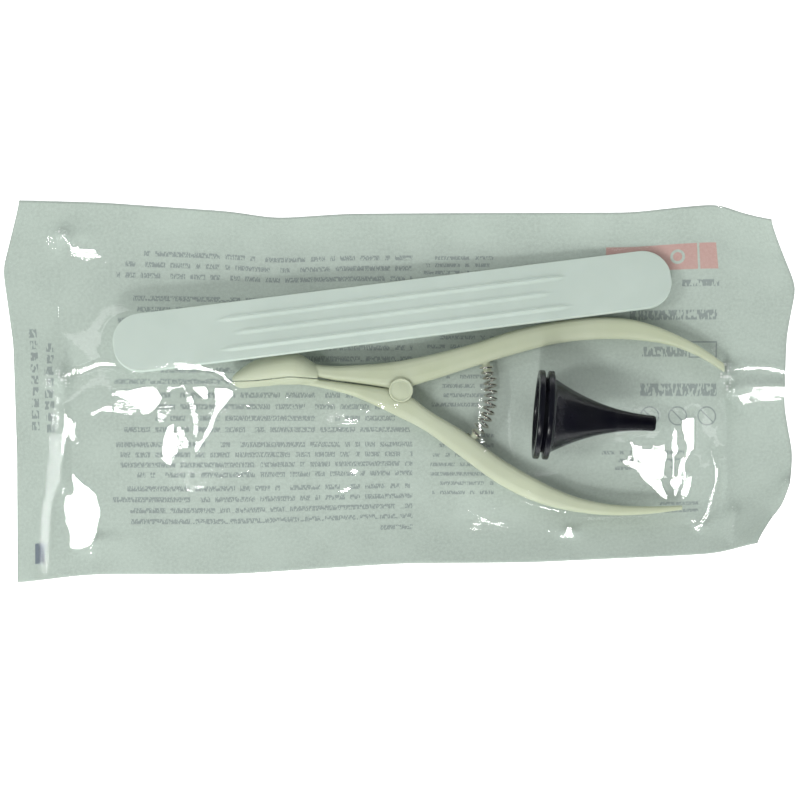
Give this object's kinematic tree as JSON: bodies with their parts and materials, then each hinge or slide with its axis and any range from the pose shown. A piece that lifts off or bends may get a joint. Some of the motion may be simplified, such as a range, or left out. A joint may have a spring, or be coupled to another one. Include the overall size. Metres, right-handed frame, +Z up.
{
  "type": "sterile ear nose and throat examination kit",
  "caption": "Sealed peel pouch of clear film on medical paper holding a ribbed tongue depressor, a sprung nasal speculum and an ear speculum for an otoscope.",
  "frame": {"origin": "middle of the underside of the pouch's paper backing, almost under the nasal speculum's rivet", "axes": "+X along the pouch towards its peel end, +Y across it towards the tongue depressor, +Z up out of the film"},
  "size_m": [0.25, 0.12, 0.0298],
  "materials": {
    "medical_paper": "matte",
    "clear_film": "gloss",
    "white_plastic": "satin",
    "black_plastic": "gloss",
    "cream_plastic": "satin",
    "spring_steel": "polished"
  },
  "bodies": {
    "pouch": {"paper_backing": "medical_paper"},
    "film": {"film_front": "clear_film"},
    "tongue_depressor": {"tongue_depressor": "white_plastic"},
    "ear_speculum": {"ear_speculum": "black_plastic"},
    "nasal_speculum": {"pivot_rivet": "cream_plastic", "handle_spring": "spring_steel"},
    "upper_lever": {"upper_lever": "cream_plastic"},
    "lower_lever": {"lower_lever": "cream_plastic"}
  },
  "joints": [
    {"name": "film_peel", "type": "hinge", "parent": "pouch", "child": "film", "pos_m": [-0.10885, 0, 0.00095], "axis": [0, -1, 0], "range_deg": [0, 115]},
    {"name": "nasal_speculum_slide", "type": "slide", "parent": "pouch", "child": "nasal_speculum", "axis": [1, 0, 0], "range_m": [-0.006, 0]},
    {"name": "upper_handle_squeeze", "type": "hinge", "parent": "nasal_speculum", "child": "upper_lever", "pos_m": [0.0003, 0.0002, 0.00455], "axis": [0, 0, -1], "range_deg": [0, 9], "stiffness_Nm_per_rad": 0.6, "springref_deg": -4.58, "deforming": ["handle_spring"]},
    {"name": "lower_handle_squeeze", "type": "hinge", "parent": "nasal_speculum", "child": "lower_lever", "pos_m": [0.0003, 0.0002, 0.00455], "axis": [0, 0, 1], "range_deg": [0, 9]},
    {"name": "ear_speculum_roll", "type": "hinge", "parent": "pouch", "child": "ear_speculum", "pos_m": [0.043, -0.0074, 0.0149], "axis": [0.9966, -0.0784, -0.0262], "continuous": true},
    {"name": "tongue_depressor_slide", "type": "slide", "parent": "pouch", "child": "tongue_depressor", "axis": [0.9908, 0.1252, -0.0506], "range_m": [-0.003, 0.003]}
  ],
  "couplings": [
    {"joint": "lower_handle_squeeze", "follows": "upper_handle_squeeze", "ratio": 1}
  ]
}
